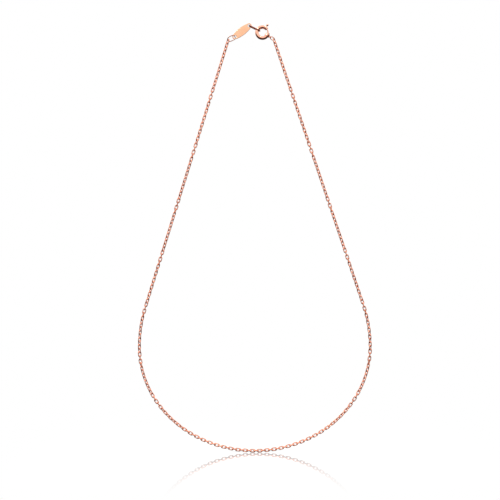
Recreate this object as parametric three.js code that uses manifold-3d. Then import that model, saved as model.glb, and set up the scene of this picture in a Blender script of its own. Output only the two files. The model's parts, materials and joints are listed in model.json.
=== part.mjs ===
// A fine cable-chain necklace, closed by a spring-ring clasp. Millimetres, +Z up.
// The closed loop hangs in the plane Y = 0 and faces -Y. The origin is at the top of the loop, on its
// line of symmetry, level with the middle of the clasp ring. The chain is one row of interlocked links,
// counted from the left end. Every stretch between two folds is one run: a plain rod as thick as a link
// is wide. The links on both sides of each fold are whole, so that they turn in each other: the one above
// stands square to the loop's plane, and the one below lies flat in it.
import * as THREE from 'three';
import { mergeVertices } from 'three/addons/utils/BufferGeometryUtils.js';
import Module from 'manifold-3d';

const wasm = await Module();
wasm.setup();

const degrees = THREE.MathUtils.degToRad;

// ---- Driving dimensions ----

// The loop: straight from each shoulder to a side arc, then half an ellipse round the bottom.
const SHOULDER = new THREE.Vector2(9.85, -3); // the right chain end
const LOOP_HALF_WIDTH = 50;
const LOOP_WIDEST_Z = -136;
const SIDE_ARC_RADIUS = 57.5;
const BOTTOM_DROP = 45; // from the widest level to the bottom

// The chain: round-wire cable links.
const LINK_COUNT = 273;
const LINK = { wire: 0.42, width: 1.54, play: 0.16 };
const FLAT = 0; // rolls of a link about its own length
const SQUARE = degrees(90);
const LEANING = degrees(-45); // the first and the last link, which hang in the end rings
const LINKS_BETWEEN_FOLDS = [16, 16, 16, 15, 15, 14, 12]; // on each side, from the shoulder down
const RUN_GAP = 0.3; // from a run's end to the whole link beside it
const RUN_SIDES = 8;
const RUN_STEP = 4; // length of one step of a run

// The end rings, which join the chain to the tag and to the clasp.
const LEFT_END_RING = { wire: 0.36, width: 2.9, play: 0.12, roll: degrees(-46) };
const RIGHT_END_RING = { wire: 0.34, width: 1.9, play: 0.1, roll: degrees(-52) };

// The tag: a plain oval plate with round ends, and one hole in the middle of each end.
const TAG_LEFT_HOLE = new THREE.Vector2(-7, -1.7);
const TAG_RIGHT_HOLE = new THREE.Vector2(-0.75, 3);
const TAG_HOLE_RADIUS = 0.65;
const TAG_END_RADIUS = 1.1;
const TAG_HALF_WIDTH = 1.75;
const TAG_THICKNESS = 0.4;

// The spring-ring clasp: a bent tube with a mouth on its right, closed by a sprung wire.
const CLASP_CENTRE = new THREE.Vector2(4.98, 0);
const CLASP_RADIUS = 2.4; // of the tube's centre line
const TUBE_RADIUS = 0.78;
const BORE_RADIUS = 0.54;
const MOUTH = { low: degrees(-8), high: degrees(36) };
const CATCH_SOCKET = degrees(13); // how far the low end of the tube is hollow
const BORE_END = degrees(250); // the stop behind the spring
const TRIGGER = {
  wireRadius: 0.3,
  tip: degrees(-13),
  tail: degrees(105),
  knobAngle: degrees(56),
  knobRadius: 0.5,
  knobReach: 3.95,
  stemRadius: 0.22,
  travel: degrees(46),
};
const SLOT = { width: 0.6, margin: degrees(7) };
const SPRING = { wire: 0.12, coilRadius: 0.36, turns: 9, stepsPerTurn: 8, endGap: degrees(3) };

// The clasp's eye: a collar round the tube, with a loop on its outer side for the right end ring.
const EYE = {
  angle: degrees(-32),
  halfAngle: degrees(15),
  innerRadius: 0.82,
  outerRadius: 1.1,
  near: 3.56, // the loop's hole, from and to these distances from the clasp's centre
  far: 4.2,
  wire: 0.32,
  width: 1.5,
  roll: degrees(-60),
};

// The catch ring, which the clasp hooks: its roll stands it square to the tag and to the tube.
const CATCH_RING = { wire: 0.5, width: 2.85, play: 0.08, roll: degrees(90) };
const CATCH_ANGLE = degrees(150); // where the catch ring crosses the clasp's tube

// ---- Materials ----

const rosePlate = (name, color, roughness) =>
  new THREE.MeshStandardMaterial({ name, color, roughness, metalness: 1 });
const CHAIN_METAL = rosePlate('chain_rose_gold', 0xdf9c86, 0.22);
const CLASP_METAL = rosePlate('clasp_rose_gold', 0xe2a38c, 0.16);
const TAG_METAL = rosePlate('tag_rose_gold', 0xf2bf9f, 0.3);
const SPRING_STEEL = new THREE.MeshStandardMaterial({
  name: 'spring_steel', color: 0xb9bcc0, roughness: 0.35, metalness: 1,
});

const necklace = new THREE.Group();

function addMesh(name, geometry, material, parent = necklace) {
  const mesh = new THREE.Mesh(geometry, material);
  mesh.name = name;
  parent.add(mesh);
  return mesh;
}

// ---- Solids ----

/** A geometry as a manifold-3d solid. */
function toSolid(geometry) {
  const bare = geometry.clone();
  bare.deleteAttribute('normal');
  bare.deleteAttribute('uv');
  const merged = mergeVertices(bare, 1e-5);
  return new wasm.Manifold(new wasm.Mesh({
    numProp: 3,
    vertProperties: new Float32Array(merged.attributes.position.array),
    triVerts: new Uint32Array(merged.index.array),
  }));
}

/** A manifold-3d solid as a geometry. */
function toGeometry(solid) {
  const mesh = solid.getMesh();
  const geometry = new THREE.BufferGeometry();
  geometry.setAttribute('position', new THREE.BufferAttribute(mesh.vertProperties, 3));
  geometry.setIndex(new THREE.BufferAttribute(mesh.triVerts, 1));
  geometry.computeVertexNormals();
  return geometry;
}

/** An arc about the origin of the XY plane, from one angle to another. */
class Arc extends THREE.Curve {
  constructor(radius, from, to) {
    super();
    Object.assign(this, { radius, from, to });
  }

  getPoint(t, target = new THREE.Vector3()) {
    const angle = THREE.MathUtils.lerp(this.from, this.to, t);
    return target.set(this.radius * Math.cos(angle), this.radius * Math.sin(angle), 0);
  }
}

/** A helix wound round an arc of the XY plane. */
class CoilOnArc extends THREE.Curve {
  constructor(radius, from, to, coilRadius, turns) {
    super();
    Object.assign(this, { radius, from, to, coilRadius, turns });
  }

  getPoint(t, target = new THREE.Vector3()) {
    const angle = THREE.MathUtils.lerp(this.from, this.to, t);
    const twist = 2 * Math.PI * this.turns * t;
    const reach = this.radius + this.coilRadius * Math.cos(twist);
    return target.set(
      reach * Math.cos(angle), reach * Math.sin(angle), this.coilRadius * Math.sin(twist),
    );
  }
}

/** A round rod with flat ends along a path. */
function rodAlong(path, radius, steps, sides) {
  const corners = Array.from({ length: sides }, (_, i) => {
    const angle = (2 * Math.PI * (i + 0.5)) / sides;
    return new THREE.Vector2(radius * Math.cos(angle), radius * Math.sin(angle));
  });
  return new THREE.ExtrudeGeometry(new THREE.Shape(corners), {
    steps, extrudePath: path, bevelEnabled: false,
  });
}

/** A wire ring drawn out into an oval in the XY plane: its length lies along Y. */
function ovalRing({ wire, width }, innerLength, sides, segments) {
  const radius = (width - wire) / 2;
  const halfStraight = innerLength / 2 - (radius - wire / 2);
  const ring = new THREE.TorusGeometry(radius, wire / 2, sides, segments);
  ring.rotateZ(Math.PI / segments);
  const position = ring.attributes.position;
  for (let i = 0; i < position.count; i += 1) {
    const y = position.getY(i);
    position.setY(i, y + Math.sign(y) * halfStraight);
  }
  return ring;
}

// ---- Places ----

const inLoopPlane = (point) => new THREE.Vector3(point.x, 0, point.y);

const onCircle = (radius, angle) =>
  new THREE.Vector2(radius * Math.cos(angle), radius * Math.sin(angle));

/** Lays a ring's length along the line from one point to another, rolled out of the loop's plane. */
function layBetween(mesh, from, to, roll) {
  const along = inLoopPlane(to.clone().sub(from)).normalize();
  const depth = new THREE.Vector3(0, 1, 0);
  const inPlane = new THREE.Vector3().crossVectors(along, depth);
  const across = inPlane.multiplyScalar(Math.cos(roll)).addScaledVector(depth, Math.sin(roll));
  const normal = new THREE.Vector3().crossVectors(across, along);
  mesh.quaternion.setFromRotationMatrix(new THREE.Matrix4().makeBasis(across, along, normal));
  mesh.position.copy(inLoopPlane(from.clone().add(to).multiplyScalar(0.5)));
}

/** A ring whose two ends bear on its neighbours at two points of the loop's plane. */
function addRing(name, size, from, to, roll, material, sides = 8, segments = 20) {
  const innerLength = from.distanceTo(to) + size.play;
  const mesh = addMesh(name, ovalRing(size, innerLength, sides, segments), material);
  layBetween(mesh, from, to, roll);
}

/** The chain's centre line, from the left shoulder round the bottom to the right shoulder. */
function loopPath() {
  const centre = new THREE.Vector2(LOOP_HALF_WIDTH - SIDE_ARC_RADIUS, LOOP_WIDEST_Z);
  const toCentre = centre.clone().sub(SHOULDER);
  const slope = Math.asin(SIDE_ARC_RADIUS / toCentre.length()) + Math.atan2(toCentre.x, -toCentre.y);
  const touch = centre.clone().add(onCircle(SIDE_ARC_RADIUS, slope));
  const mirrored = (point) => new THREE.Vector2(-point.x, point.y);
  const sideArc = (x, from, to) =>
    new THREE.EllipseCurve(x, LOOP_WIDEST_Z, SIDE_ARC_RADIUS, SIDE_ARC_RADIUS, from, to);

  const path = new THREE.CurvePath();
  path.add(new THREE.LineCurve(mirrored(SHOULDER), mirrored(touch)));
  path.add(sideArc(-centre.x, Math.PI - slope, Math.PI));
  path.add(new THREE.EllipseCurve(
    0, LOOP_WIDEST_Z, LOOP_HALF_WIDTH, BOTTOM_DROP, Math.PI, 2 * Math.PI,
  ));
  path.add(sideArc(centre.x, 0, slope));
  path.add(new THREE.LineCurve(touch, SHOULDER));
  return path;
}

const loop = loopPath();
const pitch = loop.getLength() / LINK_COUNT;

/** The point where one link bears on the next, counted from the left shoulder. */
const contact = (index) => loop.getPoint(index / LINK_COUNT);

// ---- Chain ----

/** One whole link, counted from the left. */
function addLink(name, index, roll) {
  addRing(name, LINK, contact(index), contact(index + 1), roll, CHAIN_METAL, 6, 12);
}

/** The stretch of chain between two whole links, as one rod. */
function addRun(name, leftLink, rightLink) {
  const clearOfLink = LINK.play / 2 + LINK.wire + RUN_GAP;
  const start = (leftLink + 1) * pitch + clearOfLink;
  const end = rightLink * pitch - clearOfLink;
  const steps = Math.max(1, Math.round((end - start) / RUN_STEP));
  const points = Array.from({ length: steps + 1 }, (_, i) => {
    const distance = THREE.MathUtils.lerp(start, end, i / steps);
    return inLoopPlane(loop.getPoint(distance / loop.getLength()));
  });
  const path = new THREE.CatmullRomCurve3(points);
  addMesh(name, rodAlong(path, LINK.width / 2, steps, RUN_SIDES), CHAIN_METAL);
}

/** Everything between two folds, on both sides: a run, with a whole link above and below it. */
function addLevel(level, upper, lower) {
  const opposite = (index) => LINK_COUNT - 1 - index;
  const upperRoll = level === 1 ? LEANING : FLAT;
  addLink(`left_link_${level}_upper`, upper, upperRoll);
  addRun(`left_run_${level}`, upper, lower);
  addLink(`left_link_${level}_lower`, lower, SQUARE);
  addLink(`right_link_${level}_upper`, opposite(upper), upperRoll);
  addRun(`right_run_${level}`, opposite(lower), opposite(upper));
  addLink(`right_link_${level}_lower`, opposite(lower), SQUARE);
}

function addChain() {
  let fold = 0;
  LINKS_BETWEEN_FOLDS.forEach((count, i) => {
    addLevel(i + 1, fold, fold + count - 1);
    fold += count;
  });
  addLink('bottom_link_left', fold, FLAT);
  addRun('bottom_run', fold, LINK_COUNT - fold - 1);
  addLink('bottom_link_right', LINK_COUNT - fold - 1, FLAT);
}

// ---- Tag and rings ----

/** The point where a ring's wire, lying in the middle of a tag hole, bears on its neighbour. */
function bearingInHole(hole, towards, wire) {
  const pull = towards.clone().sub(hole).normalize();
  return hole.clone().addScaledVector(pull, wire / 2);
}

function addTag() {
  const half = TAG_RIGHT_HOLE.distanceTo(TAG_LEFT_HOLE) / 2;
  const bulge = TAG_HALF_WIDTH - TAG_END_RADIUS;
  const sideRadius = TAG_END_RADIUS + (half ** 2 + bulge ** 2) / (2 * bulge);
  const sideCentre = TAG_HALF_WIDTH - sideRadius;
  const meet = Math.atan2(half, -sideCentre); // where a side arc runs into an end arc
  const outline = new THREE.Shape()
    .absarc(sideCentre, 0, sideRadius, -meet, meet, false)
    .absarc(0, half, TAG_END_RADIUS, meet, Math.PI - meet, false)
    .absarc(-sideCentre, 0, sideRadius, Math.PI - meet, Math.PI + meet, false)
    .absarc(0, -half, TAG_END_RADIUS, Math.PI + meet, 2 * Math.PI - meet, false);
  for (const y of [-half, half]) {
    outline.holes.push(new THREE.Path().absarc(0, y, TAG_HOLE_RADIUS, 0, 2 * Math.PI, true));
  }
  const plate = new THREE.ExtrudeGeometry(outline, {
    depth: TAG_THICKNESS, bevelEnabled: false, curveSegments: 12,
  });
  plate.translate(0, 0, -TAG_THICKNESS / 2);
  layBetween(addMesh('tag', plate, TAG_METAL), TAG_LEFT_HOLE, TAG_RIGHT_HOLE, 0);
}

function addRings() {
  const leftEnd = contact(0);
  const rightEnd = contact(LINK_COUNT);
  const inLeftHole = bearingInHole(TAG_LEFT_HOLE, leftEnd, LEFT_END_RING.wire);
  addRing('left_end_ring', LEFT_END_RING, leftEnd, inLeftHole, LEFT_END_RING.roll, CLASP_METAL);

  const onTube = CLASP_CENTRE.clone().add(onCircle(CLASP_RADIUS - TUBE_RADIUS, CATCH_ANGLE));
  const inRightHole = bearingInHole(TAG_RIGHT_HOLE, onTube, CATCH_RING.wire);
  addRing('catch_ring', CATCH_RING, inRightHole, onTube, CATCH_RING.roll, CLASP_METAL);

  const inEye = CLASP_CENTRE.clone().add(onCircle(EYE.far, EYE.angle));
  addRing('right_end_ring', RIGHT_END_RING, inEye, rightEnd, RIGHT_END_RING.roll, CLASP_METAL);
}

// ---- Spring-ring clasp, drawn in its own XY plane about its centre ----

/** The part of the plane between two radii and two angles, as thick as the slot is wide. */
function slotCutter(inner, outer, from, to) {
  const sector = new THREE.Shape();
  sector.absarc(0, 0, outer, from, to, false);
  sector.absarc(0, 0, inner, to, from, true);
  const cutter = new THREE.ExtrudeGeometry(sector, {
    depth: SLOT.width, bevelEnabled: false, curveSegments: 8,
  });
  return toSolid(cutter.translate(0, 0, -SLOT.width / 2));
}

const rodOnRing = (radius, from, to, steps, sides) =>
  toSolid(rodAlong(new Arc(CLASP_RADIUS, from, to), radius, steps, sides));

/** The bent tube: bored for the trigger and its spring, slotted for the knob, socketed for the tip. */
function claspHousing() {
  const overrun = degrees(4); // takes a bore clear through the tube's end
  const lowEnd = MOUTH.low + 2 * Math.PI;
  const tube = rodOnRing(TUBE_RADIUS, MOUTH.high, lowEnd, 36, 14);
  const bore = rodOnRing(BORE_RADIUS, MOUTH.high - overrun, BORE_END, 24, 10);
  const socket = rodOnRing(BORE_RADIUS, lowEnd - CATCH_SOCKET, lowEnd + overrun, 2, 10);
  const slot = slotCutter(
    CLASP_RADIUS, CLASP_RADIUS + 1.3 * TUBE_RADIUS,
    TRIGGER.knobAngle - SLOT.margin, TRIGGER.knobAngle + TRIGGER.travel + SLOT.margin,
  );
  return toGeometry(tube.subtract(bore).subtract(socket).subtract(slot));
}

/** The sliding wire that closes the mouth, with the knob that a fingernail pulls. */
function claspTrigger() {
  const wire = rodOnRing(TRIGGER.wireRadius, TRIGGER.tip, TRIGGER.tail, 14, 8);
  const stemLength = TRIGGER.knobReach - CLASP_RADIUS;
  const stem = new THREE.CylinderGeometry(TRIGGER.stemRadius, TRIGGER.stemRadius, stemLength, 8);
  stem.translate(0, CLASP_RADIUS + stemLength / 2, 0);
  const knob = new THREE.SphereGeometry(TRIGGER.knobRadius, 10, 8);
  knob.translate(0, TRIGGER.knobReach, 0);
  const turnToKnob = TRIGGER.knobAngle - Math.PI / 2;
  stem.rotateZ(turnToKnob);
  knob.rotateZ(turnToKnob);
  return toGeometry(wire.add(toSolid(stem)).add(toSolid(knob)));
}

/** The coil spring in the bore, from the trigger's tail to the stop. */
function claspSpring() {
  const coil = new CoilOnArc(
    CLASP_RADIUS, TRIGGER.tail + SPRING.endGap, BORE_END - SPRING.endGap,
    SPRING.coilRadius, SPRING.turns,
  );
  return rodAlong(coil, SPRING.wire / 2, SPRING.turns * SPRING.stepsPerTurn, 4);
}

/** The collar and its loop, whose length lies along the ring's radius. */
function claspEye() {
  const from = EYE.angle - EYE.halfAngle;
  const to = EYE.angle + EYE.halfAngle;
  const overrun = degrees(2); // takes the bore clear through both ends of the collar
  const sleeve = rodOnRing(EYE.outerRadius, from, to, 5, 14);
  const hole = rodOnRing(EYE.innerRadius, from - overrun, to + overrun, 5, 14);
  const loopRing = ovalRing(EYE, EYE.far - EYE.near, 8, 20);
  loopRing.rotateY(EYE.roll);
  loopRing.translate(0, (EYE.far + EYE.near) / 2, 0);
  loopRing.rotateZ(EYE.angle - Math.PI / 2);
  return toGeometry(sleeve.subtract(hole).add(toSolid(loopRing)));
}

function addClasp() {
  const clasp = new THREE.Group();
  clasp.position.copy(inLoopPlane(CLASP_CENTRE));
  clasp.rotation.x = Math.PI / 2;
  addMesh('clasp_housing', claspHousing(), CLASP_METAL, clasp);
  addMesh('clasp_trigger', claspTrigger(), CLASP_METAL, clasp);
  addMesh('clasp_spring', claspSpring(), SPRING_STEEL, clasp);
  addMesh('clasp_eye', claspEye(), CLASP_METAL, clasp);
  necklace.add(clasp);
}

addChain();
addTag();
addRings();
addClasp();

export default necklace;
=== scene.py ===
import json
import math

import bmesh
import bpy
import numpy as np
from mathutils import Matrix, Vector


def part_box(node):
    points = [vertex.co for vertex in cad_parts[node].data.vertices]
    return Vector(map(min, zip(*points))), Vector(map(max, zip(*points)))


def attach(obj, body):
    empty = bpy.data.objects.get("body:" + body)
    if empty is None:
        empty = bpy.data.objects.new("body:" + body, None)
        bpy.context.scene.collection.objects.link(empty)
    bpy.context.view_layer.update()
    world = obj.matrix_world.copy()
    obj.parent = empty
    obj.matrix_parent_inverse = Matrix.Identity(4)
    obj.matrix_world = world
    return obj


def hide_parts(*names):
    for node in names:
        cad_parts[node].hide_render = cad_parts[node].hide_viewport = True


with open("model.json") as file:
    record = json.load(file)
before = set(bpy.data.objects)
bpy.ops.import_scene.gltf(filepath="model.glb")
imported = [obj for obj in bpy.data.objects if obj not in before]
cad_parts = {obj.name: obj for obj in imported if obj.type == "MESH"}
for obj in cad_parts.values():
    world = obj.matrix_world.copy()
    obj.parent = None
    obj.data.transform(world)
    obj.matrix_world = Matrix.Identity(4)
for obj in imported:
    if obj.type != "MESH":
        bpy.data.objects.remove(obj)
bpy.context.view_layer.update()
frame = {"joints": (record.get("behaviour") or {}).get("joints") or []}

# A fine rose-gold cable chain, closed by a spring-ring clasp, with a plain oval tag.
# Metres, in the CAD's frame: +Z up, and the loop hangs in the plane Y = 0 and faces -Y.

MM = 0.001
joints = {joint["name"]: joint for joint in frame["joints"]}

# ---- Driving dimensions ----

# The loop: straight from each shoulder to a side arc, then half an ellipse round the bottom.
SHOULDER_X = -joints["left_end_ring_swing"]["pos_m"][0]
SHOULDER_Z = joints["left_end_ring_swing"]["pos_m"][2]
RUN_HALF_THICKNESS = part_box("right_run_6")[1].y
LOOP_HALF_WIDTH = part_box("right_run_6")[1].x - RUN_HALF_THICKNESS
LOOP_BOTTOM_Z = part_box("bottom_run")[0].z + RUN_HALF_THICKNESS
LOOP_WIDEST_Z = -136 * MM
SIDE_ARC_RADIUS = 57.5 * MM

# The chain: interlocked round-wire links, counted from the left shoulder.
LINK_COUNT = 273
LINKS_BETWEEN_FOLDS = [16, 16, 16, 15, 15, 14, 12]  # on each side, from the shoulder down
LINK_WIRE = 0.42 * MM
LINK_WIDTH = 1.57 * MM
LINK_PLAY = 0.16 * MM
LINK_SEAM = -0.06  # the wire is 6% thinner at its solder joint
STRAND_LEAN = 45  # degrees between a strand's links and the loop's plane
STRAND_TWIST = 7  # degrees, the most by which a stretch of a strand is twisted from that

# The clasp: a bent tube with a mouth, a sprung wire with a knob, and an eye. Its angles are in degrees.
CLASP_CENTRE = Vector(joints["clasp_trigger"]["pos_m"])
CLASP_RADIUS = 2.4 * MM
TUBE_RADIUS = 0.78 * MM
TUBE_WALL = 0.24 * MM
MOUTH_LOW, MOUTH_HIGH = -8, 36
SLOT_FROM, SLOT_TO = 49, 109
SLOT_HALF_WIDTH = 0.3 * MM
TRIGGER_TIP, TRIGGER_TAIL = -13, 105
TRIGGER_RADIUS = 0.29 * MM
KNOB_ANGLE = 56
SPRING_FROM, SPRING_TO = 108, 247
SPRING_TURNS = 9
SPRING_RADIUS = 0.37 * MM
SPRING_WIRE_RADIUS = 0.06 * MM
CATCH_ANGLE = 150  # where the catch ring bears on the tube
SHARP_ANGLE = 42  # a steeper edge is shaded as an edge

# The clasp's eye: a collar round the tube, and a loop outside it.
EYE_ANGLE = -32
COLLAR_RADIUS = 0.96 * MM
COLLAR_HALF_LENGTH = 0.55 * MM
COLLAR_HALF_THICKNESS = 0.13 * MM
EYE_NEAR, EYE_FAR = 3.56 * MM, 4.2 * MM  # the loop's hole, in distances from the clasp's centre
EYE_WIRE = 0.32 * MM
EYE_WIDTH = 1.5 * MM
EYE_ROLL = -60

# The tag: an oval plate with round ends.
TAG_LEFT_HOLE = Vector((-7, 0, -1.7)) * MM
TAG_RIGHT_HOLE = Vector((-0.75, 0, 3)) * MM
TAG_END_RADIUS = 1.1 * MM
TAG_HALF_WIDTH = 1.75 * MM
TAG_HOLE_RADIUS = 0.65 * MM
TAG_THICKNESS = 0.4 * MM
TAG_EDGE = 0.11 * MM  # radius of its rounded edges

# The floor, which the lowest link touches, and the view.
FLOOR_Z = LOOP_BOTTOM_Z - LINK_WIDTH / 2
FLOOR_HALF_SIZE = 3.0
FLOOR_GLOSS = 0.52  # strength of the reflection straight under the loop
VIEW_WIDTH = 216.5 * MM  # at the loop
VIEW_CENTRE_X, VIEW_CENTRE_Z = -1.57 * MM, -94.1 * MM
VIEW_ROLL = 0.7  # degrees


# ---- Mesh code ----

def skin(rings, closed):
    """Points and faces of the surface through rings of points: a closed loop of them, or capped."""
    rings = np.asarray(rings, float)
    count, sides = rings.shape[:2]
    faces = []
    for i in range(count if closed else count - 1):
        here, after = i * sides, ((i + 1) % count) * sides
        for j in range(sides):
            k = (j + 1) % sides
            faces.append((here + j, here + k, after + k, after + j))
    if not closed:
        faces.append(tuple(reversed(range(sides))))
        faces.append(tuple(range((count - 1) * sides, count * sides)))
    return rings.reshape(-1, 3), faces


def circle(radius, sides):
    """Points of a circle about the origin, as two columns."""
    angles = np.arange(sides) * 2 * math.pi / sides
    return np.column_stack([np.cos(angles), np.sin(angles)]) * radius


def sweep(path, section, scale=None, closed=False, across=(0, 0, 1)):
    """Skins a section along a path. The section's first column points across the path."""
    path = np.asarray(path, float)
    if closed:
        tangents = np.roll(path, -1, 0) - np.roll(path, 1, 0)
    else:
        tangents = np.gradient(path, axis=0)
    tangents /= np.linalg.norm(tangents, axis=1)[:, None]
    scale = np.ones(len(path)) if scale is None else scale
    across = np.array(across, float)
    rings = []
    for point, tangent, size in zip(path, tangents, scale):
        across = across - tangent * across.dot(tangent)
        across /= np.linalg.norm(across)
        up = np.cross(across, tangent)
        rings.append(point + size * (section[:, :1] * across + section[:, 1:] * up))
    return skin(rings, closed)


def make_piece(name, parts, material, body, nodes):
    """One smooth mesh object made of parts, each of them points and faces."""
    points, faces, start = [], [], 0
    for part_points, part_faces in parts:
        points.append(part_points)
        faces.extend(tuple(i + start for i in face) for face in part_faces)
        start += len(part_points)
    mesh = bpy.data.meshes.new(name)
    mesh.from_pydata(np.concatenate(points).tolist(), [], faces)
    mesh.validate()
    repair = bmesh.new()
    repair.from_mesh(mesh)
    bmesh.ops.recalc_face_normals(repair, faces=repair.faces)
    repair.to_mesh(mesh)
    repair.free()
    mesh.shade_smooth()
    mesh.materials.append(material)
    piece = bpy.data.objects.new(name, mesh)
    bpy.context.scene.collection.objects.link(piece)
    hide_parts(*nodes)
    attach(piece, body)
    return piece


def placed(part, basis, origin):
    """A part moved from its own axes, the rows of basis, to an origin."""
    points, faces = part
    return points @ np.asarray(basis, float) + np.asarray(origin, float), faces


# ---- Rings and links ----

def oval_ring(wire, width, inner_length, sides, segments, seam=0.0):
    """A wire ring in the XY plane, with its length along Y. A seam makes the wire thicker on one side."""
    radius = (width - wire) / 2
    straight = inner_length / 2 - (radius - wire / 2)
    angles = (np.arange(segments) + 0.5) * 2 * math.pi / segments
    path = np.column_stack([
        radius * np.cos(angles),
        radius * np.sin(angles) + np.sign(np.sin(angles)) * straight,
        np.zeros(segments),
    ])
    seam_reach = 0.28  # radians round the ring
    swell = 1 + seam * np.exp(-((angles - math.pi) / seam_reach) ** 2)
    return sweep(path, circle(wire / 2, sides), swell, closed=True)


def ring_basis(start, end, roll):
    """The axes of a ring laid from one point to another: across, along and its normal."""
    along = (Vector(end) - Vector(start)).normalized()
    depth = Vector((0, 1, 0))
    in_plane = along.cross(depth)
    across = in_plane * math.cos(roll) + depth * math.sin(roll)
    return [across, along, across.cross(along)]


def loop_table():
    """The chain's centre line as a fine polyline: distances, and points as X and Z."""
    arc_points, bottom_points = 400, 1200
    centre = np.array([LOOP_HALF_WIDTH - SIDE_ARC_RADIUS, LOOP_WIDEST_Z])
    to_centre = centre - (SHOULDER_X, SHOULDER_Z)
    reach = np.linalg.norm(to_centre)
    slope = math.asin(SIDE_ARC_RADIUS / reach) + math.atan2(to_centre[0], -to_centre[1])
    arc_angles = np.linspace(slope, 0, arc_points)
    arc = centre + SIDE_ARC_RADIUS * np.column_stack([np.cos(arc_angles), np.sin(arc_angles)])
    turn = np.linspace(0, -math.pi / 2, bottom_points)
    drop = LOOP_WIDEST_Z - LOOP_BOTTOM_Z
    bottom = np.column_stack([
        LOOP_HALF_WIDTH * np.cos(turn),
        LOOP_WIDEST_Z + drop * np.sin(turn),
    ])
    right = np.vstack([[(SHOULDER_X, SHOULDER_Z)], arc, bottom[1:]])
    left = right * (-1, 1)
    points = np.vstack([left, right[-2::-1]])
    steps = np.linalg.norm(np.diff(points, axis=0), axis=1)
    return np.concatenate([[0], np.cumsum(steps)]), points


distances, loop_points = loop_table()
PITCH = distances[-1] / LINK_COUNT


def contact(index):
    """The point where one link bears on the next."""
    distance = index * PITCH
    x = np.interp(distance, distances, loop_points[:, 0])
    z = np.interp(distance, distances, loop_points[:, 1])
    return Vector((x, 0, z))


def link_rolls(count, first, middle, last, ends=(0.15, 0.85, 1.0)):
    """Each link's roll. Neighbours stand square to each other, and the row twists on its way.

    The ends are the places, from 0 to 1, where the middle roll starts, where it stops and where
    the last roll is reached.
    """
    places = np.linspace(0, 1, count)
    leans = np.interp(places, (0, *ends), (first, middle, middle, last))
    return np.radians(leans + 90 * (np.arange(count) % 2))


def chain_piece(name, body, nodes, indices, rolls, material, link):
    """A row of links as one piece."""
    parts = []
    for index, roll in zip(indices, rolls):
        start, end = contact(index), contact(index + 1)
        parts.append(placed(link, ring_basis(start, end, roll), (start + end) / 2))
    return make_piece(name, parts, material, body, nodes)


def build_chain(material):
    """Every link, in one piece for each stretch between two folds and one for the bottom."""
    link = oval_ring(LINK_WIRE, LINK_WIDTH, PITCH + LINK_PLAY, sides=14, segments=36, seam=LINK_SEAM)
    first = 0
    for level, count in enumerate(LINKS_BETWEEN_FOLDS, start=1):
        links = np.arange(first, first + count)
        start, lean = (-STRAND_LEAN, -STRAND_LEAN) if level == 1 else (0, STRAND_LEAN)
        end = 0 if count % 2 == 0 else 90  # so that the last link stands square to the loop's plane
        for side, indices, twist in (
            ("left", links, math.sin(2.1 * level)),
            ("right", LINK_COUNT - 1 - links, math.cos(1.7 * level)),
        ):
            middle = lean + STRAND_TWIST * twist
            nodes = [f"{side}_link_{level}_upper", f"{side}_run_{level}", f"{side}_link_{level}_lower"]
            rolls = link_rolls(count, start, middle, end)
            chain_piece(f"{side}_chain_{level}", f"level_{level}", nodes, indices, rolls, material, link)
        first += count
    half = (LINK_COUNT - 2 * first + 1) // 2
    down = link_rolls(half, 0, STRAND_LEAN, 90, ends=(0.1, 0.22, 0.4))
    rolls = np.concatenate([down, down[-2::-1]])
    nodes = ["bottom_link_left", "bottom_run", "bottom_link_right"]
    indices = np.arange(first, LINK_COUNT - first)
    chain_piece("bottom_chain", "level_8", nodes, indices, rolls, material, link)


# ---- Materials ----

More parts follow.
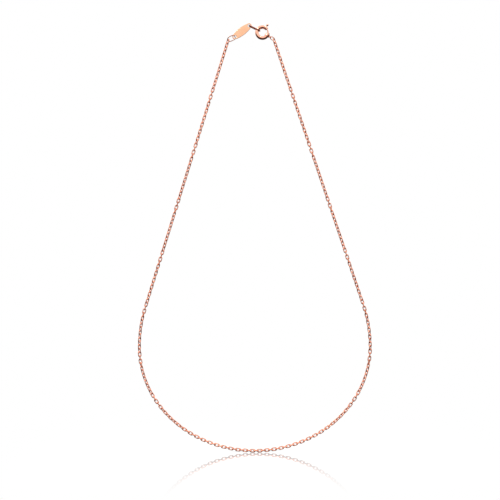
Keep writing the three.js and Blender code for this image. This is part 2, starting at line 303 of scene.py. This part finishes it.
def plated_metal(name, dark, light, roughness, scratch_scale, bump):
    """Polished plating: colour that drifts a little, fine scratches, and patches of softer polish."""
    drift_scale, polish_scale = 420.0, 1500.0  # like the scratches' scale, in features to a metre
    drift_low, drift_high = 0.32, 0.68  # the noise where the dark and the light colour are reached
    finest, softest = 0.65, 1.45  # the polish, in parts of the roughness
    scratch_narrowing = 0.12  # a scratch's width over its length
    scratch_direction = (0.4, 0.7, 0.3)  # radians
    scratch_depth = 0.01 * MM

    material = bpy.data.materials.new(name)
    material.use_nodes = True
    nodes, links = material.node_tree.nodes, material.node_tree.links
    shader = nodes["Principled BSDF"]
    shader.inputs["Metallic"].default_value = 1.0
    place = nodes.new("ShaderNodeTexCoord")

    drift = nodes.new("ShaderNodeTexNoise")
    drift.inputs["Scale"].default_value = drift_scale
    drift.inputs["Detail"].default_value = 3.0
    links.new(place.outputs["Object"], drift.inputs["Vector"])
    tint = nodes.new("ShaderNodeValToRGB")
    tint.color_ramp.elements[0].position = drift_low
    tint.color_ramp.elements[0].color = (*dark, 1)
    tint.color_ramp.elements[1].position = drift_high
    tint.color_ramp.elements[1].color = (*light, 1)
    links.new(drift.outputs["Fac"], tint.inputs["Fac"])
    links.new(tint.outputs["Color"], shader.inputs["Base Color"])

    polish = nodes.new("ShaderNodeTexNoise")
    polish.inputs["Scale"].default_value = polish_scale
    polish.inputs["Detail"].default_value = 4.0
    links.new(place.outputs["Object"], polish.inputs["Vector"])
    spread = nodes.new("ShaderNodeMapRange")
    spread.inputs["To Min"].default_value = roughness * finest
    spread.inputs["To Max"].default_value = roughness * softest
    links.new(polish.outputs["Fac"], spread.inputs["Value"])
    links.new(spread.outputs["Result"], shader.inputs["Roughness"])

    stretch = nodes.new("ShaderNodeMapping")
    lengthwise = scratch_scale * scratch_narrowing
    stretch.inputs["Scale"].default_value = (scratch_scale, lengthwise, scratch_scale)
    stretch.inputs["Rotation"].default_value = scratch_direction
    links.new(place.outputs["Object"], stretch.inputs["Vector"])
    scratches = nodes.new("ShaderNodeTexNoise")
    scratches.inputs["Scale"].default_value = 1.0
    scratches.inputs["Detail"].default_value = 6.0
    links.new(stretch.outputs["Vector"], scratches.inputs["Vector"])
    relief = nodes.new("ShaderNodeBump")
    relief.inputs["Strength"].default_value = bump
    relief.inputs["Distance"].default_value = scratch_depth
    links.new(scratches.outputs["Fac"], relief.inputs["Height"])
    links.new(relief.outputs["Normal"], shader.inputs["Normal"])
    return material


# ---- Solids made with modifiers ----

def solid_part(part, modifiers=()):
    """A part's mesh after modifiers: each of them a type and its settings."""
    mesh = bpy.data.meshes.new("work")
    mesh.from_pydata(np.asarray(part[0]).tolist(), [], part[1])
    work = bpy.data.objects.new("work", mesh)
    bpy.context.scene.collection.objects.link(work)
    for kind, settings in modifiers:
        modifier = work.modifiers.new(kind, kind)
        for setting, value in settings.items():
            setattr(modifier, setting, value)
    result = evaluated_part(work)
    bpy.data.objects.remove(work)
    return result


def evaluated_part(work):
    """The points and faces of an object, with its modifiers."""
    bpy.context.view_layer.update()
    mesh = bpy.data.meshes.new_from_object(work.evaluated_get(bpy.context.evaluated_depsgraph_get()))
    points = np.array([vertex.co for vertex in mesh.vertices])
    faces = [tuple(polygon.vertices) for polygon in mesh.polygons]
    bpy.data.meshes.remove(mesh)
    return points, faces


def united(first, second):
    """Two closed parts joined into one body."""
    mesh = bpy.data.meshes.new("other")
    scale = 1 / MM  # booleans work best on sizes near one
    mesh.from_pydata((second[0] * scale).tolist(), [], second[1])
    other = bpy.data.objects.new("other", mesh)
    bpy.context.scene.collection.objects.link(other)
    settings = {"operation": "UNION", "solver": "EXACT", "object": other}
    points, faces = solid_part((first[0] * scale, first[1]), [("BOOLEAN", settings)])
    bpy.data.objects.remove(other)
    return points / scale, faces


# ---- Clasp, drawn in its own XY plane about its centre ----

def from_clasp(part):
    """A part of the clasp moved to its place in the necklace."""
    return placed(part, [(1, 0, 0), (0, 0, 1), (0, -1, 0)], CLASP_CENTRE)


def ring_path(start, end, steps):
    """Points along the tube's centre line, from one angle to another."""
    angles = np.radians(np.linspace(start, end, steps))
    return CLASP_RADIUS * np.column_stack([np.cos(angles), np.sin(angles), np.zeros(steps)])


def rounded_ends(path, radius):
    """Sizes of a section along a path that make its two ends round."""
    smallest = 0.02  # keeps the very end open enough to be capped
    along = np.concatenate([[0], np.cumsum(np.linalg.norm(np.diff(path, axis=0), axis=1))])
    from_end = np.minimum(along, along[-1] - along)
    dip = np.clip(1 - from_end / radius, 0, 1)
    return np.sqrt(np.clip(1 - dip ** 2, smallest, 1))


def housing():
    """The bent tube: a thin skin with a slot and a mouth, thickened inwards, with softened edges."""
    step = 2  # degrees from one column of points to the next
    room_before, room_after = 7, 8  # degrees beside the slot without columns, for its round ends
    columns = np.concatenate([
        np.arange(MOUTH_HIGH, SLOT_FROM - room_before, step),
        np.arange(SLOT_FROM, SLOT_TO + 1, step),
        np.arange(SLOT_TO + room_after, 361 + MOUTH_LOW, step),
    ]).astype(float)
    sides = 32
    half_slot = 2  # rows to either side of the slot's middle
    end_round = math.degrees(SLOT_HALF_WIDTH / (CLASP_RADIUS + TUBE_RADIUS))
    points = []
    for column in columns:
        for side in range(sides):
            row = side if side <= sides // 2 else side - sides
            angle = column
            inside = max(0.0, 1 - (row / half_slot) ** 2)
            if abs(row) < half_slot and column == SLOT_FROM:
                angle -= end_round * math.sqrt(inside)
            if abs(row) < half_slot and column == SLOT_TO:
                angle += end_round * math.sqrt(inside)
            lean = 2 * math.pi * row / sides
            reach = CLASP_RADIUS + TUBE_RADIUS * math.cos(lean)
            turn = math.radians(angle)
            points.append((reach * math.cos(turn), reach * math.sin(turn), TUBE_RADIUS * math.sin(lean)))
    faces = []
    for i in range(len(columns) - 1):
        for side in range(sides):
            row = side if side < sides // 2 else side - sides
            in_slot = -half_slot <= row < half_slot and SLOT_FROM <= columns[i] < SLOT_TO
            if not in_slot:
                after = (side + 1) % sides
                faces.append((
                    i * sides + side, (i + 1) * sides + side,
                    (i + 1) * sides + after, i * sides + after,
                ))
    scale = 1 / MM
    edge_width = 0.05 * MM
    edges = {
        "width": edge_width * scale,
        "segments": 3,
        "limit_method": "ANGLE",
        "angle_limit": math.radians(50),
    }
    shell = [("SOLIDIFY", {"thickness": TUBE_WALL * scale, "offset": -1.0}), ("BEVEL", edges)]
    points, faces = solid_part((np.array(points) * scale, faces), shell)
    return points / scale, faces


def trigger():
    """The sliding wire with round ends, and its knob: a stem, a collar and a ball."""
    path = ring_path(TRIGGER_TIP, TRIGGER_TAIL, 90)
    wire = sweep(path, circle(TRIGGER_RADIUS, 20), rounded_ends(path, TRIGGER_RADIUS))
    profile = np.array([  # the knob's distances from the clasp's centre, and its radii, in millimetres
        (2.35, 0.21), (3.28, 0.21), (3.40, 0.30), (3.48, 0.33), (3.54, 0.30), (3.58, 0.31),
        (3.66, 0.41), (3.78, 0.475), (3.94, 0.50), (4.10, 0.475), (4.25, 0.39), (4.36, 0.25), (4.42, 0.08),
    ]) * MM
    angle = math.radians(KNOB_ANGLE)
    direction = np.array([math.cos(angle), math.sin(angle), 0])
    knob = sweep(profile[:, :1] * direction, circle(1.0, 24), profile[:, 1])
    return united(wire, knob)


def spring():
    """The coil in the bore, behind the trigger's tail."""
    steps = 360
    base = ring_path(SPRING_FROM, SPRING_TO, steps)
    twist = np.linspace(0, 2 * math.pi * SPRING_TURNS, steps)
    outward = base / np.linalg.norm(base, axis=1)[:, None]
    coil = base + SPRING_RADIUS * np.cos(twist)[:, None] * outward
    coil[:, 2] = SPRING_RADIUS * np.sin(twist)
    return sweep(coil, circle(SPRING_WIRE_RADIUS, 8))


def eye():
    """A collar round the tube, and the loop that the right end ring hangs in."""
    turns = np.linspace(0, 2 * math.pi, 40, endpoint=False)
    angle = math.radians(EYE_ANGLE)
    outward = np.array([math.cos(angle), math.sin(angle), 0])
    collar_path = COLLAR_RADIUS * (np.cos(turns)[:, None] * outward + np.sin(turns)[:, None] * (0, 0, 1))
    collar_path += CLASP_RADIUS * outward
    roundness = 0.45  # 1 would make the collar's section an oval, and 0 a sharp rectangle
    corners = circle(1.0, 16)
    section = np.sign(corners) * np.abs(corners) ** roundness * (COLLAR_HALF_LENGTH, COLLAR_HALF_THICKNESS)
    collar = sweep(collar_path, section, closed=True, across=(-outward[1], outward[0], 0))
    loop = oval_ring(EYE_WIRE, EYE_WIDTH, EYE_FAR - EYE_NEAR, sides=16, segments=48)
    roll = math.radians(EYE_ROLL)
    along = Vector(outward)
    flat = Vector((outward[1], -outward[0], 0))
    across = flat * math.cos(roll) + Vector((0, 0, -1)) * math.sin(roll)
    loop = placed(loop, [across, along, across.cross(along)], outward * (EYE_NEAR + EYE_FAR) / 2)
    return united(collar, loop)


def build_clasp(metal, spring_steel):
    """The tube, the eye and the spring, which stay together, and the trigger that slides."""
    for name, node, part, body, finish, slot_name in (
        ("clasp_tube", "clasp_housing", housing(), "clasp", metal, "clasp"),
        ("clasp_eye_loop", "clasp_eye", eye(), "clasp", metal, "clasp"),
        ("clasp_coil", "clasp_spring", spring(), "clasp", spring_steel, "spring"),
        ("clasp_slider", "clasp_trigger", trigger(), "trigger", metal, "clasp"),
    ):
        piece = make_piece(name, [from_clasp(part)], finish, body, [node])
        sharpen(piece)


def sharpen(piece):
    """Shades smooth except across the edges that are really sharp."""
    piece.data.set_sharp_from_angle(angle=math.radians(SHARP_ANGLE))


# ---- Tag and end rings ----

def build_rings(metal, painted_shade_metal):
    """The three wire rings, each laid between the two points where it bears on its neighbours."""
    tag_left = Vector(joints["tag_swing"]["pos_m"])
    left_start = Vector(joints["left_end_ring_swing"]["pos_m"])
    right_start = Vector(joints["right_end_ring_swing"]["pos_m"])
    right_end = Vector((SHOULDER_X, 0, SHOULDER_Z))
    catch_start = Vector(joints["catch_ring_swing"]["pos_m"])
    touch = math.radians(CATCH_ANGLE)
    tube_inside = CLASP_RADIUS - TUBE_RADIUS
    catch_end = CLASP_CENTRE + tube_inside * Vector((math.cos(touch), 0, math.sin(touch)))
    for name, start, end, wire, width, play, roll, finish in (  # millimetres and degrees
        ("left_end_ring", left_start, tag_left, 0.36, 2.9, 0.12, -46, metal),
        ("right_end_ring", right_start, right_end, 0.34, 1.9, 0.1, -52, metal),
        # the catch ring takes the darker finish, which is painted shade for the dark it mirrors
        ("catch_ring", catch_start, catch_end, 0.5, 2.85, 0.08, 90, painted_shade_metal),
    ):
        inner = (end - start).length + play * MM
        ring = oval_ring(wire * MM, width * MM, inner, sides=20, segments=72, seam=-0.1)
        part = placed(ring, ring_basis(start, end, math.radians(roll)), (start + end) / 2)
        make_piece(f"{name}_wire", [part], finish, name, [name])


def build_tag(metal):
    """A plain oval plate with round ends, a hole in each, and rounded edges."""
    half = (TAG_RIGHT_HOLE - TAG_LEFT_HOLE).length / 2
    bulge = TAG_HALF_WIDTH - TAG_END_RADIUS
    side_radius = TAG_END_RADIUS + (half ** 2 + bulge ** 2) / (2 * bulge)
    side_centre = side_radius - TAG_HALF_WIDTH
    meet = math.atan2(half, side_centre)

    def arc(x, y, radius, start, end, steps=24):
        """Points of an arc, without its last one."""
        turns = np.linspace(start, end, steps + 1)[:-1]
        return np.column_stack([x + radius * np.cos(turns), y + radius * np.sin(turns)])

    outline = np.vstack([
        arc(-side_centre, 0, side_radius, -meet, meet),
        arc(0, half, TAG_END_RADIUS, meet, math.pi - meet),
        arc(side_centre, 0, side_radius, math.pi - meet, math.pi + meet),
        arc(0, -half, TAG_END_RADIUS, math.pi + meet, 2 * math.pi - meet),
    ])
    holes = [arc(0, y, TAG_HOLE_RADIUS, 0, 2 * math.pi, steps=36) for y in (-half, half)]
    curve = bpy.data.curves.new("tag_outline", "CURVE")  # in millimetres, until the plate is placed
    curve.dimensions = "2D"
    curve.fill_mode = "BOTH"
    curve.extrude = (TAG_THICKNESS / 2 - TAG_EDGE) / MM
    curve.bevel_depth = TAG_EDGE / MM
    curve.offset = -TAG_EDGE / MM
    curve.bevel_resolution = 4
    for loop in (outline, *holes):
        spline = curve.splines.new("POLY")
        spline.points.add(len(loop) - 1)
        spline.use_cyclic_u = True
        for point, (x, y) in zip(spline.points, loop / MM):
            point.co = (x, y, 0, 1)
    work = bpy.data.objects.new("work", curve)
    bpy.context.scene.collection.objects.link(work)
    points, faces = evaluated_part(work)
    bpy.data.objects.remove(work)
    basis = ring_basis(TAG_LEFT_HOLE, TAG_RIGHT_HOLE, 0)
    part = placed((points * MM, faces), basis, (TAG_LEFT_HOLE + TAG_RIGHT_HOLE) / 2)
    piece = make_piece("tag_plate", [part], metal, "tag", ["tag"])
    sharpen(piece)


# ---- Floor, light and camera ----

def build_stage():
    """A glossy white floor. Its reflection and the shade at the contact both fade away."""
    material = bpy.data.materials.new("white_floor")
    material.use_nodes = True
    nodes, links = material.node_tree.nodes, material.node_tree.links
    nodes.clear()
    place = nodes.new("ShaderNodeTexCoord")
    axes = nodes.new("ShaderNodeSeparateXYZ")
    links.new(place.outputs["Object"], axes.inputs["Vector"])

    def fade(axis, reach, middle=0.0):
        """1 on a middle line, falling to 0 at a distance along one axis."""
        offset = nodes.new("ShaderNodeMath")
        offset.operation = "SUBTRACT"
        offset.inputs[1].default_value = middle
        links.new(axes.outputs[axis], offset.inputs[0])
        distance = nodes.new("ShaderNodeMath")
        distance.operation = "ABSOLUTE"
        links.new(offset.outputs["Value"], distance.inputs[0])
        ramp = nodes.new("ShaderNodeMapRange")
        ramp.interpolation_type = "SMOOTHSTEP"
        ramp.inputs["From Min"].default_value = 0.0
        ramp.inputs["From Max"].default_value = reach
        ramp.inputs["To Min"].default_value = 1.0
        ramp.inputs["To Max"].default_value = 0.0
        links.new(distance.outputs["Value"], ramp.inputs["Value"])
        return ramp.outputs["Result"]

    def product(first, second):
        """Two values multiplied, each of them a number or a socket."""
        node = nodes.new("ShaderNodeMath")
        node.operation = "MULTIPLY"
        for socket, value in zip(node.inputs, (first, second)):
            if isinstance(value, float):
                socket.default_value = value
            else:
                links.new(value, socket)
        return node.outputs["Value"]

    # The shade lies just behind the bottom of the loop.
    contact_shade = product(fade("Y", 3.2 * MM, middle=3.4 * MM), fade("X", 19 * MM))
    shade = nodes.new("ShaderNodeMix")
    shade.data_type = "RGBA"
    shade.inputs["A"].default_value = (1, 1, 1, 1)
    shade.inputs["B"].default_value = (0.28, 0.28, 0.30, 1)
    links.new(contact_shade, shade.inputs["Factor"])
    white = nodes.new("ShaderNodeEmission")
    links.new(shade.outputs["Result"], white.inputs["Color"])
    gloss = nodes.new("ShaderNodeBsdfGlossy")
    gloss.inputs["Color"].default_value = (1, 1, 1, 1)
    gloss.inputs["Roughness"].default_value = 0.04
    mix = nodes.new("ShaderNodeMixShader")
    reflection = product(fade("Y", 95 * MM), fade("X", 110 * MM))
    links.new(product(reflection, FLOOR_GLOSS), mix.inputs["Fac"])
    links.new(white.outputs["Emission"], mix.inputs[1])
    links.new(gloss.outputs["BSDF"], mix.inputs[2])
    output = nodes.new("ShaderNodeOutputMaterial")
    links.new(mix.outputs["Shader"], output.inputs["Surface"])

    mesh = bpy.data.meshes.new("floor")
    corners = [
        (x * FLOOR_HALF_SIZE, y * FLOOR_HALF_SIZE, FLOOR_Z)
        for x, y in ((-1, -1), (1, -1), (1, 1), (-1, 1))
    ]
    mesh.from_pydata(corners, [], [(0, 1, 2, 3)])
    mesh.materials.append(material)
    floor = bpy.data.objects.new("floor", mesh)
    bpy.context.scene.collection.objects.link(floor)
    floor.visible_glossy = False


def build_world():
    """White to the camera. The metal mirrors a studio that is white above and all round."""
    bpy.context.scene.view_settings.view_transform = "Standard"
    world = bpy.data.worlds.new("studio")
    bpy.context.scene.world = world
    world.use_nodes = True
    nodes, links = world.node_tree.nodes, world.node_tree.links
    nodes.clear()
    place = nodes.new("ShaderNodeTexCoord")
    split = nodes.new("ShaderNodeSeparateXYZ")
    links.new(place.outputs["Generated"], split.inputs["Vector"])
    mirrored = nodes.new("ShaderNodeCombineXYZ")
    for axis in "XY":
        squared = nodes.new("ShaderNodeMath")
        squared.operation = "MULTIPLY"
        links.new(split.outputs[axis], squared.inputs[0])
        links.new(split.outputs[axis], squared.inputs[1])
        links.new(squared.outputs["Value"], mirrored.inputs[axis])
    links.new(split.outputs["Z"], mirrored.inputs["Z"])
    height = nodes.new("ShaderNodeVectorMath")
    height.operation = "DOT_PRODUCT"
    height.inputs[1].default_value = Vector((0.36, 0.5, 0.80)).normalized()  # sides, front and back, above
    links.new(mirrored.outputs["Vector"], height.inputs[0])
    place_on_ramp = nodes.new("ShaderNodeMapRange")
    place_on_ramp.inputs["From Min"].default_value = -1.0
    links.new(height.outputs["Value"], place_on_ramp.inputs["Value"])
    ramp = nodes.new("ShaderNodeValToRGB")
    stops = (  # dark and warm below, white above
        (0.0, (0.04, 0.016, 0.012)),
        (0.42, (0.05, 0.022, 0.016)),
        (0.54, (0.11, 0.08, 0.065)),
        (0.67, (0.28, 0.25, 0.23)),
        (0.75, (1.05, 1.03, 1.00)),
        (0.86, (1.35, 1.35, 1.35)),
        (1.0, (1.8, 1.8, 1.8)),
    )
    elements = ramp.color_ramp.elements
    while len(elements) < len(stops):
        elements.new(0.5)
    for element, (position, level) in zip(elements, stops):
        element.position = position
        element.color = (*level, 1)
    links.new(place_on_ramp.outputs["Result"], ramp.inputs["Fac"])
    studio = nodes.new("ShaderNodeBackground")
    links.new(ramp.outputs["Color"], studio.inputs["Color"])
    white = nodes.new("ShaderNodeBackground")
    white.inputs["Color"].default_value = (1, 1, 1, 1)
    seen = nodes.new("ShaderNodeLightPath")
    mix = nodes.new("ShaderNodeMixShader")
    links.new(seen.outputs["Is Camera Ray"], mix.inputs["Fac"])
    links.new(studio.outputs["Background"], mix.inputs[1])
    links.new(white.outputs["Background"], mix.inputs[2])
    output = nodes.new("ShaderNodeOutputWorld")
    links.new(mix.outputs["Shader"], output.inputs["Surface"])


def build_lights():
    """Soft boxes: a key above on the left, and a small one above on the right."""
    loop_middle = Vector((0, 0, -90 * MM))
    for name, place, size, power in (  # metres and watts
        ("key_box", (-0.5, -0.4, 0.5), 0.25, 2.0),
        ("top_box", (0.25, -0.1, 0.6), 0.15, 0.8),
    ):
        light = bpy.data.lights.new(name, "AREA")
        light.size = size
        light.energy = power
        lamp = bpy.data.objects.new(name, light)
        bpy.context.scene.collection.objects.link(lamp)
        lamp.location = place
        aim = loop_middle - lamp.location
        lamp.rotation_euler = aim.to_track_quat("-Z", "Y").to_euler()


def build_camera():
    """A long lens that looks straight at the loop's plane, tipped a little to one side."""
    data = bpy.data.cameras.new("camera")
    data.lens = 85
    data.sensor_width = 36
    data.clip_start = 0.01
    camera = bpy.data.objects.new("camera", data)
    bpy.context.scene.collection.objects.link(camera)
    distance = VIEW_WIDTH * data.lens / data.sensor_width
    camera.location = (VIEW_CENTRE_X, -distance, VIEW_CENTRE_Z)
    camera.rotation_euler = (math.pi / 2, math.radians(VIEW_ROLL), 0)
    bpy.context.scene.camera = camera


# Each finish: its dark and light colour, its roughness, and the scale and strength of its scratches.
chain_metal = plated_metal("chain_rose_gold", (0.64, 0.235, 0.14), (0.90, 0.40, 0.255), 0.16, 9000, 0.25)
clasp_metal = plated_metal("clasp_rose_gold", (0.76, 0.35, 0.24), (0.93, 0.51, 0.37), 0.14, 7000, 0.2)
ring_metal = plated_metal("ring_rose_gold", (0.46, 0.19, 0.12), (0.72, 0.34, 0.22), 0.18, 7000, 0.2)
# The catch ring's finish is painted shade: a darker copy of the rose gold that stands in for the dark the
# ring mirrors, not a copper of its own.
painted_shade_catch_metal = plated_metal("catch_ring_painted_shade", (0.20, 0.06, 0.045), (0.34, 0.12, 0.08), 0.3, 7000, 0.2)
tag_metal = plated_metal("tag_rose_gold", (0.84, 0.45, 0.27), (0.90, 0.53, 0.34), 0.22, 5000, 0.08)
spring_metal = plated_metal("spring_steel", (0.30, 0.31, 0.33), (0.55, 0.56, 0.58), 0.3, 9000, 0.3)
build_camera()
build_world()
build_lights()
build_stage()
build_chain(chain_metal)
build_rings(ring_metal, painted_shade_catch_metal)
build_tag(tag_metal)
build_clasp(clasp_metal, spring_metal)
